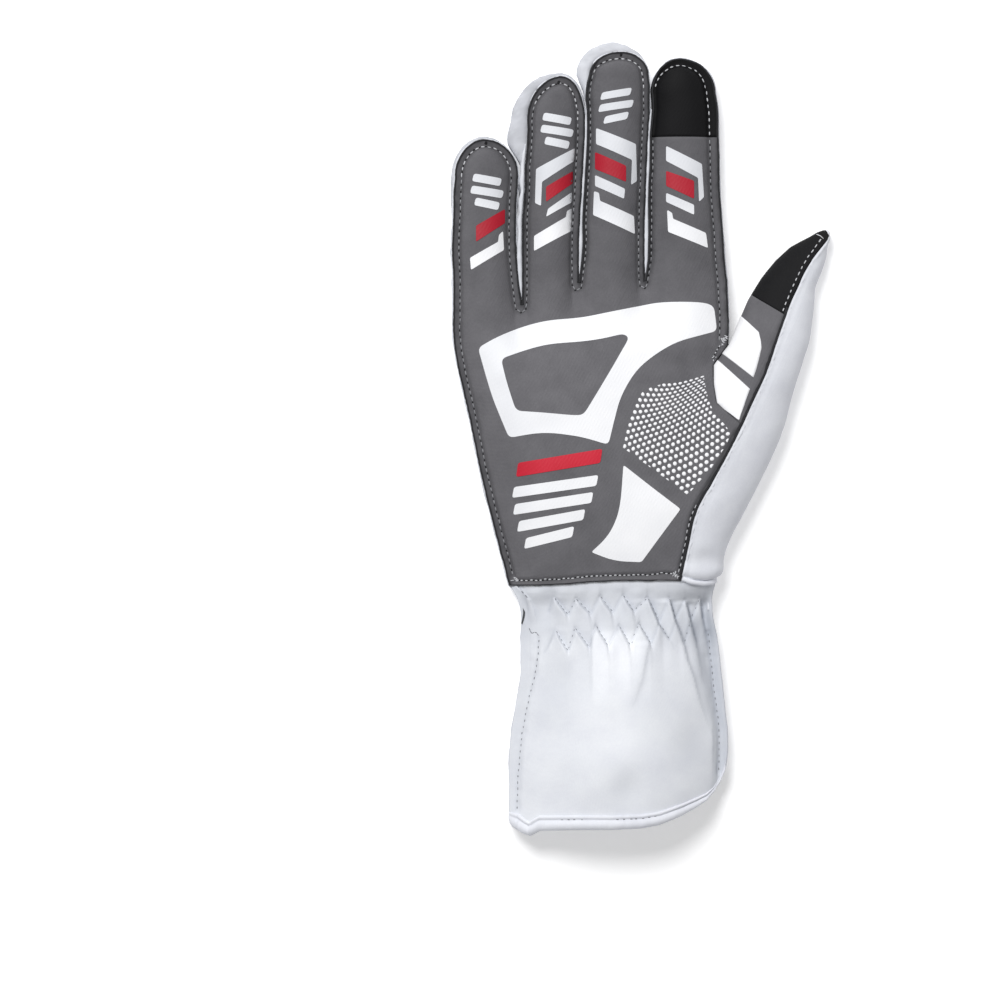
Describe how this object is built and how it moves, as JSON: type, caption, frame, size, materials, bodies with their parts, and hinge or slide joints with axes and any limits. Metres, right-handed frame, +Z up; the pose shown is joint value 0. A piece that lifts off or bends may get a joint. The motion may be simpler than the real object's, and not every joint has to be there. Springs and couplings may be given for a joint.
{
  "type": "racing glove",
  "caption": "Right-hand gauntlet driving glove lying palm up: grey palm, dark touch tips on index finger and thumb, white back, gathered wrist and flared cuff with a bound hem.",
  "frame": {"origin": "on the surface that the glove lies on, below the middle of its bounding box", "axes": "+Y to the fingertips, +X to the thumb, +Z up out of the palm"},
  "size_m": [0.1446, 0.3009, 0.0278],
  "materials": {
    "palm_cloth": "brushed microfibre with printed bars",
    "touch_patch": "smooth matt black",
    "white_cloth": "soft matt white"
  },
  "bodies": {
    "root": {"palm_panel": "palm_cloth", "index_touch_tip": "touch_patch", "thumb_front": "palm_cloth", "thumb_touch_tip": "touch_patch", "thumb_back": "white_cloth", "back_panel": "white_cloth", "fourchette_little_ring": "white_cloth", "fourchette_ring_middle": "white_cloth", "fourchette_middle_index": "white_cloth", "cuff_panel": "white_cloth", "hem_binding": "white_cloth"}
  },
  "joints": []
}
